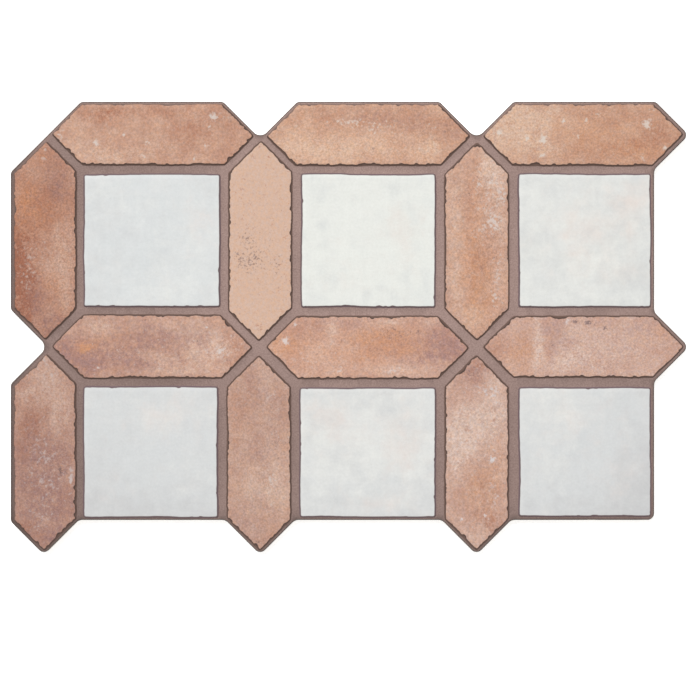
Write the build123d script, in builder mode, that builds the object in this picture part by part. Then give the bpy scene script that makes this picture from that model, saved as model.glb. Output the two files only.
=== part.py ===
from build123d import *
import os
from math import atan2, degrees, isclose, sqrt

# Interlocking porcelain floor tile, pressed with pointed pickets around squares, lying face up on its back.
# The origin is on the back plane, midway between the straight edges. +X runs along the length, towards the
# end points, +Y across it, away from the side points, and +Z out of the face.

# Sizes of the tile, in millimetres
straight_length = 571.5  # 22-1/2 in between the straight end edges
straight_width = 371.5  # 14-5/8 in between the straight side edges
thickness = 9.5  # 3/8 in, back to face
laid_joint = 4.8  # 3/16 in of grout left between two laid tiles
tip_radius = 6.0  # outer corners and points of the outline
notch_radius = 8.0  # inner corners of the outline, where a neighbour comes in
rim_bevel = 0.8  # upper edge of the outline

# Sizes of the pattern pressed into the face
columns = 3
rows = 2
picket_width = 53.7  # face of a picket, flat to flat
joint_width = 10.2  # pressed joint between two faces
joint_depth = 1.5
wall_run = 0.9  # how far the wall of a face leans out on its way down to the joint
square_border = 3.6  # joint left outside the squares at the open edges
face_corner_radius = 1.2
face_bevel = 0.5  # upper edge of a face

# Sizes of the keys pressed into the back, which hold the adhesive
key_size = 24.0
key_rib = 4.0  # between two keys
key_depth = 0.6
key_margin = 9.0  # plain land along the edges

# A module is a square with one picket above it and one to its left. Laid tiles repeat at their
# straight size plus the laid joint, and the modules share that length.
pitch_x = (straight_length + laid_joint) / columns
pitch_y = (straight_width + laid_joint) / rows
band_width = picket_width + joint_width
modules_centre = (band_width / 2, -band_width / 2)
joint_floor = thickness - joint_depth
wall_lean = degrees(atan2(wall_run, joint_depth))


def picket_corners(length, width):
    """Corners of a long hexagon with right-angled points, lying along X."""
    point = length / 2
    flank = width / 2
    shoulder = point - flank
    right = [(shoulder, -flank), (point, 0), (shoulder, flank)]
    return right + [(-x, -y) for x, y in right]


def draw_pickets(gap):
    """Draws every picket, its sides drawn back by gap from the middle of their joints."""
    width = band_width - 2 * gap
    point_gap = gap * sqrt(2)
    with Locations(modules_centre):
        with Locations((0, pitch_y / 2)), GridLocations(pitch_x, pitch_y, columns, rows):
            Polygon(picket_corners(pitch_x - 2 * point_gap, width), align=None)
        with Locations((-pitch_x / 2, 0)), GridLocations(pitch_x, pitch_y, columns, rows):
            Polygon(picket_corners(pitch_y - 2 * point_gap, width), rotation=90, align=None)


def draw_squares(gap):
    """Draws every square, its sides drawn back by gap from the middle of their joints."""
    with Locations(modules_centre), GridLocations(pitch_x, pitch_y, columns, rows):
        Rectangle(pitch_x - band_width - 2 * gap, pitch_y - band_width - 2 * gap)


# Outline: the modules out to the middle of their joints, less half the laid joint. Drawing it back and
# out again rounds the outer corners, and out and back the inner ones.
with BuildSketch() as outline:
    draw_pickets(0)
    draw_squares(0)
    offset(amount=-laid_joint / 2 - tip_radius, kind=Kind.TANGENT)
    offset(amount=tip_radius + notch_radius, kind=Kind.ARC)
    offset(amount=-notch_radius, kind=Kind.ARC)

# Feet of the raised faces, on the floor of the joints
foot_gap = joint_width / 2 - wall_run
foot_corner_radius = face_corner_radius + wall_run
with BuildSketch(Plane.XY.offset(joint_floor)) as picket_feet:
    draw_pickets(foot_gap)
    fillet(picket_feet.vertices(), foot_corner_radius)

foot_border = square_border - wall_run
with BuildSketch(Plane.XY.offset(joint_floor)) as square_feet:
    draw_squares(foot_gap)
    Rectangle(straight_length - 2 * foot_border, straight_width - 2 * foot_border, mode=Mode.INTERSECT)
    fillet(square_feet.vertices(), foot_corner_radius)

# Keys: a grid laid over the back, of which the keys that lie wholly inside the land are pressed
key_pitch = key_size + key_rib
with BuildSketch() as key_grid:
    add(outline.sketch)
    offset(amount=-key_margin)
    key_columns = int((straight_length + band_width) / key_pitch)
    key_rows = int((straight_width + band_width) / key_pitch)
    with GridLocations(key_pitch, key_pitch, key_columns, key_rows):
        Rectangle(key_size, key_size, mode=Mode.INTERSECT)
whole_keys = key_grid.faces().filter_by(lambda key: isclose(key.area, key_size**2))

with BuildPart() as picket_tile:
    extrude(outline.sketch, amount=joint_floor)
    chamfer(picket_tile.faces().sort_by(Axis.Z)[-1].edges(), rim_bevel)
    for feet in (picket_feet, square_feet):
        extrude(feet.sketch, amount=joint_depth, taper=wall_lean)
    raised_faces = picket_tile.faces().filter_by(Plane.XY).group_by(Axis.Z)[-1]
    chamfer(raised_faces.edges(), face_bevel)
    extrude(whole_keys, amount=key_depth, mode=Mode.SUBTRACT)

picket_tile.part.label = "picket_tile"
os.makedirs("parts", exist_ok=True)
export_step(picket_tile.part, "parts/picket_tile.step")
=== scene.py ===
import math
import random
from functools import partial

import bmesh
import bpy
import numpy as np
from mathutils import Matrix, Vector, geometry, noise


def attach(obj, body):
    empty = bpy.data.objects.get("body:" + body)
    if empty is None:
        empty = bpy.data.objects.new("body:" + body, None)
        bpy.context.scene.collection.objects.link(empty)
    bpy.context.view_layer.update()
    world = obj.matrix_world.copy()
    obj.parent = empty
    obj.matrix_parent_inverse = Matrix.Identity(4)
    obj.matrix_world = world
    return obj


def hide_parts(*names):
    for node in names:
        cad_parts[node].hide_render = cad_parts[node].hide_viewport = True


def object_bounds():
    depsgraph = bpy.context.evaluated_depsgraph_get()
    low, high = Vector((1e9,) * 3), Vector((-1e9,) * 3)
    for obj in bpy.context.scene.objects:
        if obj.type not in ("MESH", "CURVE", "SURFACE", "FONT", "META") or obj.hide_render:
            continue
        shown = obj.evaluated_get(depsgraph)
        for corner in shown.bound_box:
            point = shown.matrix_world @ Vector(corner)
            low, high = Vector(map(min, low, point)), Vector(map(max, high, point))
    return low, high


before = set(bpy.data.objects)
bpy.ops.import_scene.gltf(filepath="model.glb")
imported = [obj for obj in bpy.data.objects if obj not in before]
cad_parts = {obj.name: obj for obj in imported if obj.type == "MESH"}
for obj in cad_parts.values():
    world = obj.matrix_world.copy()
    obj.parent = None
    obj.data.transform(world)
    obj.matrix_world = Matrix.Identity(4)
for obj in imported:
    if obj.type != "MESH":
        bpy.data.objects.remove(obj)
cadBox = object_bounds()
print("frame loaded:", sorted(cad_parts))

# The tile's own sizes in mm, as in the solid. A raised face is worked in mm and brought to metres
# when it is whole.
tile = dict(
    straightLength=571.5,
    straightWidth=371.5,
    thickness=9.5,
    laidJoint=4.8,
    columns=3,
    rows=2,
    picketWidth=53.7,
    jointWidth=10.2,
    jointDepth=1.5,
    squareBorder=3.6,
    cornerRadius=1.2,
)
pitchX = (tile["straightLength"] + tile["laidJoint"]) / tile["columns"]
pitchY = (tile["straightWidth"] + tile["laidJoint"]) / tile["rows"]
bandWidth = tile["picketWidth"] + tile["jointWidth"]
jointFloor = tile["thickness"] - tile["jointDepth"]
modulesCentre = Vector((bandWidth / 2, -bandWidth / 2))


# Finishes

def toLinear(hexColour):
    channels = [int(hexColour[i:i + 2], 16) / 255 for i in (1, 3, 5)]
    return [c / 12.92 if c <= 0.04045 else ((c + 0.055) / 1.055) ** 2.4 for c in channels] + [1.0]


def addNode(tree, kind, settings={}, links={}):
    # settings go to the node's own choices first, then to its sockets: From and To take a low and a high end,
    # and a hex colour is turned to linear. Links come from a socket or from a node.
    node = tree.nodes.new("ShaderNode" + kind)
    choices = [name for name in settings if hasattr(node, name)]
    for name in choices:
        setattr(node, name, settings[name])
    sockets = {s.name: s for s in reversed(node.inputs)} | {s.identifier: s for s in node.inputs}
    for name, value in settings.items():
        if name in ("From", "To"):
            sockets[name + " Min"].default_value, sockets[name + " Max"].default_value = value
        elif name not in choices:
            sockets[name].default_value = toLinear(value) if isinstance(value, str) else value
    for name, source in links.items():
        if isinstance(source, bpy.types.Node):
            source = next(s for s in source.outputs if s.enabled)
        tree.links.new(source, sockets[name])
    return node


# Choices that many nodes share
soft = {"interpolation_type": "SMOOTHSTEP"}
tint = {"data_type": "RGBA"}
scaled = {"operation": "SCALE"}
noiseSpan = (0.3, 0.7)  # most of a noise lies between these


def newFinish(name):
    material = bpy.data.materials.new(name)
    material.use_nodes = True
    return material, partial(addNode, material.node_tree)


def startFinish(name, look, read=(), onFace=False):
    # what the finish reads from the mesh, where it lies, and the plain patterns of its look there
    material, add = newFinish(name)
    given = {one: add("Attribute", {"attribute_name": one}).outputs["Fac"] for one in read}
    if onFace:
        place = add("Attribute", {"attribute_name": "faceSpot"}).outputs["Vector"]
    else:
        place = add("TexCoord").outputs["Object"]
    for one, (size, detail, coarse) in look["patterns"].items():
        given[one] = add("TexNoise", {"Scale": 1000 / size, "Detail": detail, "Roughness": coarse},
                         {"Vector": place})
    return material, add, place, given


def finishOff(material, look, colour, cloud, grain):
    # the colour, a roughness that follows one pattern and a fine relief that follows another
    add = partial(addNode, material.node_tree)
    rough = add("MapRange", {"From": noiseSpan, "To": look["roughness"]}, {"Value": cloud})
    bump = add("Bump", {"Strength": look["relief"], "Distance": look["pit"] / 1000}, {"Height": grain})
    shader = material.node_tree.nodes["Principled BSDF"]
    for name, node in {"Base Color": colour, "Roughness": rough, "Normal": bump}.items():
        material.node_tree.links.new(next(s for s in node.outputs if s.enabled), shader.inputs[name])
    return material


def finishFace(material, look, colour, worn, cloud, grain):
    # each face is fired a little lighter, darker or rosier, and its worn edge goes dark
    add = partial(addNode, material.node_tree)
    fired = add("Attribute", {"attribute_name": "fired"}).outputs["Vector"]
    colour = add("VectorMath", {"operation": "MULTIPLY"}, {"Vector": colour, "Vector_001": fired})
    colour = add("Mix", tint | {"B_Color": look["edge"]}, {"Factor_Float": worn, "A_Color": colour})
    return finishOff(material, look, colour, cloud, grain)


terracotta = dict(
    light="#cba38d", dark="#bd917c",  # the ground that the tones lie on
    peach="#d3b29e", rust="#a97157", ember="#cb936d", rose="#a67f75",
    bloom="#dacfc8", smoke="#735b59", edge="#523e37",
    # size in mm, detail, coarseness
    patterns=dict(cloud=(24.0, 7, 0.7), sand=(3.4, 4, 0.8), grit=(1.8, 3, 0.75)),
    mottle=4.6,  # mm
    cloudEdge=(0.35, 0.65), stipple=(0.36, 0.64),  # where in the noise they begin and are full
    gritShade=(0.75, 1.25),  # darkest and lightest grit
    sandWarm=(1.03, 0.97, 0.89, 1), sandPale=(0.99, 1.03, 1.09, 1),  # how the sand tints a tone
    specks=dict(bloom=(2.7, 0.61, 0.20), smoke=(1.7, 0.64, 0.14)),  # size in mm, where they begin, how softly
    gather=0.16,  # how much more of them a spot draws
    speckCover=(0.35, 0.85),  # how thickly they cover, alone and gathered
    worn=(0.985, 0.90),  # the edge goes dark between these heights
    litEdgeShare=0.35,  # painted light: how much of the dark edge a side open to the light keeps
    roughness=(0.55, 0.75), relief=0.3, pit=0.3,  # pit in mm
)


def terracottaGlaze():
    # pressed porcelain under a matte printed glaze: rosy clay, stippled clouds, white bloom and sandy grain
    look = terracotta
    stippled = ("rust", "rose", "ember", "peach")
    reads = (*stippled, *look["specks"], "rise", "openSide", "sandy")
    material, add, spot, given = startFinish("terracottaGlaze", look, reads, onFace=True)
    mask = add("MapRange", soft | {"From": look["cloudEdge"]}, {"Value": given["cloud"]})
    colour = add("Mix", tint | {"A_Color": look["light"], "B_Color": look["dark"]}, {"Factor_Float": mask})
    # each tone lies as stipple, thicker where its spots lie
    for number, tone in enumerate(stippled):
        mottle = add("TexNoise", {"noise_dimensions": "4D", "W": 3.7 + number, "Scale": 1000 / look["mottle"],
                                  "Detail": 4.0, "Roughness": 0.85}, {"Vector": spot})
        stipple = add("MapRange", {"From": look["stipple"], "To": (0, 2)}, {"Value": mottle})
        mask = add("Math", {"operation": "MULTIPLY", "use_clamp": True},
                   {"Value": given[tone], "Value_001": stipple})
        colour = add("Mix", tint | {"B_Color": look[tone]}, {"Factor_Float": mask, "A_Color": colour})
    # sand in the glaze: patches of warm and pale grains, and grit drawn coarser than the real one, so that
    # it shows
    mask = add("MapRange", soft | {"From": look["cloudEdge"]}, {"Value": given["sand"]})
    sanded = add("Mix", tint | {"A_Color": look["sandWarm"], "B_Color": look["sandPale"]},
                 {"Factor_Float": mask})
    colour = add("VectorMath", {"operation": "MULTIPLY"}, {"Vector": colour, "Vector_001": sanded})
    gritShade = add("MapRange", {"From": noiseSpan, "To": look["gritShade"]}, {"Value": given["grit"]})
    gritShare = add("Mix", {"data_type": "FLOAT", "clamp_factor": False, "A_Float": 1.0},
                    {"Factor_Float": given["sandy"], "B_Float": gritShade})
    colour = add("VectorMath", scaled, {"Vector": colour, "Scale": gritShare})
    # white bloom and dark flecks, scattered thinly and gathered where their spots lie
    for number, (tone, (size, start, spread)) in enumerate(look["specks"].items()):
        speck = add("TexNoise", {"noise_dimensions": "4D", "W": 11.3 + number, "Scale": 1000 / size,
                                 "Detail": 2.0, "Roughness": 0.6}, {"Vector": spot})
        gathered = add("Math", {"operation": "MULTIPLY_ADD", "Value_001": look["gather"]},
                       {"Value": given[tone], "Value_002": speck})
        cover = add("MapRange", {"From": (0, 2), "To": look["speckCover"]}, {"Value": given[tone]})
        mask = add("MapRange", soft | {"From": (start, start + spread)}, {"Value": gathered, "To Max": cover})
        colour = add("Mix", tint | {"B_Color": look[tone]}, {"Factor_Float": mask, "A_Color": colour})
    # the dark edge is real, but it is painted lighter on a side open to the light: painted light
    lightShare = add("MapRange", {"To": (1, look["litEdgeShare"])}, {"Value": given["openSide"]})
    worn = add("MapRange", soft | {"From": look["worn"]}, {"Value": given["rise"], "To Max": lightShare})
    return finishFace(material, look, colour, worn, given["cloud"], given["grit"])


whiteware = dict(
    ground="#dfe0de", warm="#ebebe6", cool="#d8dbdb", cream="#e6dad3", shade="#cbcccc", edge="#75625f",
    patterns=dict(cloud=(38.0, 5, 0.62), grain=(2.2, 2, 0.6)),  # size in mm, detail, coarseness
    mottle=11.0, stroke=6.0,  # mm
    cloudEdge=(0.35, 0.75), cloudCover=0.6,  # where in the noise the clouds begin and are full, and how thick
    broken=1.2, toneEdge=(0.6, 1.6), toneCover=0.95,  # how the mottle breaks a tone, where it shows, how much
    strokeShade=(0.98, 1.02), brim=0.025,  # how much the strokes lighten or darken, and how much the painted highlight lightens the edge
    grainShade=(0.96, 1.04),
    worn=(0.975, 0.89),  # the edge goes dark between these heights
    roughness=(0.42, 0.6), relief=0.12, pit=0.4,  # pit in mm
)


def whiteGlaze():
    # the same body under a silky white glaze, brushed unevenly so that cool and cream clouds show through
    look = whiteware
    clouded = ("cool", "warm", "cream", "shade")
    reads = (*clouded, "rise", "brim")
    material, add, spot, given = startFinish("brushedWhiteGlaze", look, reads, onFace=True)
    mask = add("MapRange", soft | {"From": look["cloudEdge"], "To": (0, look["cloudCover"])},
               {"Value": given["cloud"]})
    colour = add("Mix", tint | {"A_Color": look["ground"], "B_Color": look["shade"]}, {"Factor_Float": mask})
    for number, tone in enumerate(clouded):
        mottle = add("TexNoise", {"noise_dimensions": "4D", "W": 5.1 + number, "Scale": 1000 / look["mottle"],
                                  "Detail": 4.0, "Roughness": 0.6}, {"Vector": spot})
        broken = add("Math", {"operation": "MULTIPLY_ADD", "Value_001": look["broken"]},
                     {"Value": mottle, "Value_002": given[tone]})
        mask = add("MapRange", soft | {"From": look["toneEdge"], "To": (0, look["toneCover"])},
                   {"Value": broken})
        colour = add("Mix", tint | {"B_Color": look[tone]}, {"Factor_Float": mask, "A_Color": colour})
    # faint brush strokes, along and across, and a painted highlight along the edge, where the rounded glaze
    # catches the light
    strokes = []
    for number, stretch in enumerate(((0.15, 1, 1), (1, 0.15, 1))):
        laid = add("Mapping", {"Scale": stretch}, {"Vector": spot})
        strokes.append(add("TexNoise", {"noise_dimensions": "4D", "W": 8.3 + number, "Detail": 3.0,
                                        "Scale": 1000 / look["stroke"], "Roughness": 0.6}, {"Vector": laid}))
    crossed = add("Math", {"operation": "ADD"}, {"Value": strokes[0], "Value_001": strokes[1]})
    brushed = add("MapRange", {"From": (0.7, 1.3), "To": look["strokeShade"]}, {"Value": crossed})
    brushedAndLit = add("Math", {"operation": "MULTIPLY_ADD", "Value_001": look["brim"]},
                {"Value": given["brim"], "Value_002": brushed})
    grainShade = add("MapRange", {"From": (0.2, 0.8), "To": look["grainShade"]}, {"Value": given["grain"]})
    for shade in (brushedAndLit, grainShade):
        colour = add("VectorMath", scaled, {"Vector": colour, "Scale": shade})
    worn = add("MapRange", soft | {"From": look["worn"]}, {"Value": given["rise"]})
    return finishFace(material, look, colour, worn, given["cloud"], given["grain"])


joint = dict(
    ground="#a1877f", light="#b39991", dark="#8a716b",
    picketStain="#6d554b", picketLip="#46342d", squareStain="#78646a", squareLip="#5f4c4e",
    patterns=dict(sand=(1.3, 3, 0.7), cloud=(30.0, 2, 0.5)),  # size in mm, detail, coarseness
    sandSpans=((0.5, 0.75), (0.5, 0.25)),  # where in the noise light and dark sand begins and is full
    cloudShade=(0.95, 1.05),
    stainRise=(0.0, 0.35), lipRise=(0.55, 0.9),  # between these heights on a wall they come in
    litStainShare=0.6,  # painted light: how much of the stain a side open to the light keeps
    rimShade=0.6,  # painted shade: how dark the joint is painted at the rim, where the bevel rolls away from the light
    # where the joint is darker, at both ends and along the lower row: axis, from and to in mm, shade there
    dimmer=[("X", -95, -140, 0.84), ("X", -255, -283, 0.7), ("X", 140, 200, 0.92),
            ("Y", 0, -120, 0.82), ("Y", -170, -184, 0.85)],
    roughness=(0.78, 0.92), relief=0.5, pit=0.3,  # pit in mm
)


def jointGlaze(name, stain=None, lip=None):
    # taupe glaze with fine sand in it, dry and flat; on the walls it darkens upwards, most of all at the lip
    look = joint
    reads = ("rim", "rise", "openSide") if stain else ("rim",)
    material, add, place, given = startFinish(name, look, reads)
    light, dark = [add("MapRange", {"From": span}, {"Value": given["sand"]}) for span in look["sandSpans"]]
    colour = add("Mix", tint | {"A_Color": look["ground"], "B_Color": look["light"]}, {"Factor_Float": light})
    colour = add("Mix", tint | {"B_Color": look["dark"]}, {"Factor_Float": dark, "A_Color": colour})
    shades = [add("MapRange", {"From": noiseSpan, "To": look["cloudShade"]}, {"Value": given["cloud"]})]
    where = add("SeparateXYZ", {}, {"Vector": place})
    shades += [add("MapRange", soft | {"From": (start / 1000, end / 1000), "To": (1, depth)},
                   {"Value": where.outputs[axis]}) for axis, start, end, depth in look["dimmer"]]
    # painted shade, darkest at the rim
    shades.append(add("MapRange", {"To": (1, look["rimShade"])}, {"Value": given["rim"]}))
    for shade in shades:
        colour = add("VectorMath", scaled, {"Vector": colour, "Scale": shade})
    if stain:
        # painted light: the stain and the lip are painted lighter on a side open to the light
        share = add("MapRange", {"To": (1, look["litStainShare"])}, {"Value": given["openSide"]})
        for tone, height in ((stain, look["stainRise"]), (lip, look["lipRise"])):
            mask = add("MapRange", soft | {"From": height}, {"Value": given["rise"], "To Max": share})
            colour = add("Mix", tint | {"B_Color": tone}, {"Factor_Float": mask, "A_Color": colour})
    return finishOff(material, look, colour, given["sand"], given["sand"])


body = dict(
    ground="#cfc5b6", dark="#bdb1a1", glazeRunAndShade="#625751",
    patterns=dict(cloud=(20.0, 4, 0.6), grain=(1.2, 2, 0.7)),  # size in mm, detail, coarseness
    grainShade=(0.93, 1.07),
    runDown=(8.4, 9.0), ragged=4.0,  # mm; with the raggedness added, the glaze stops between these heights
    roughness=(0.62, 0.8), relief=0.3, pit=0.3,  # pit in mm
)


def barePorcelain():
    # unglazed fired porcelain: ivory-grey, dull and finely pitted, with the joint glaze run a little down the
    # sides, painted dark so that on the rim's bevel it is also painted shade
    look = body
    material, add, place, given = startFinish("barePorcelain", look)
    mask = add("MapRange", {"From": (0.35, 0.7)}, {"Value": given["cloud"]})
    colour = add("Mix", tint | {"A_Color": look["ground"], "B_Color": look["dark"]}, {"Factor_Float": mask})
    height = add("SeparateXYZ", {}, {"Vector": place}).outputs["Z"]
    ragged = add("Math", {"operation": "MULTIPLY_ADD", "Value_001": look["ragged"] / 1000},
                 {"Value": given["cloud"], "Value_002": height})
    run = add("MapRange", soft | {"From": [h / 1000 for h in look["runDown"]]}, {"Value": ragged})
    # the run glaze is partly real and partly painted shade: darker than the joint so that the bevel looks
    # shaded
    colour = add("Mix", tint | {"B_Color": look["glazeRunAndShade"]}, {"Factor_Float": run, "A_Color": colour})
    shade = add("MapRange", {"From": (0.2, 0.8), "To": look["grainShade"]}, {"Value": given["grain"]})
    colour = add("VectorMath", scaled, {"Vector": colour, "Scale": shade})
    return finishOff(material, look, colour, given["cloud"], given["grain"])


finishes = dict(
    body=barePorcelain(),
    joint=jointGlaze("sandedJointGlaze"),
    picketWall=jointGlaze("picketEdgeStain", joint["picketStain"], joint["picketLip"]),
    squareWall=jointGlaze("squareEdgeStain", joint["squareStain"], joint["squareLip"]),
    picket=terracottaGlaze(),
    square=whiteGlaze(),
)
finishNames = list(finishes)
print("finishes:", ", ".join(m.name for m in finishes.values()))

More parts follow.
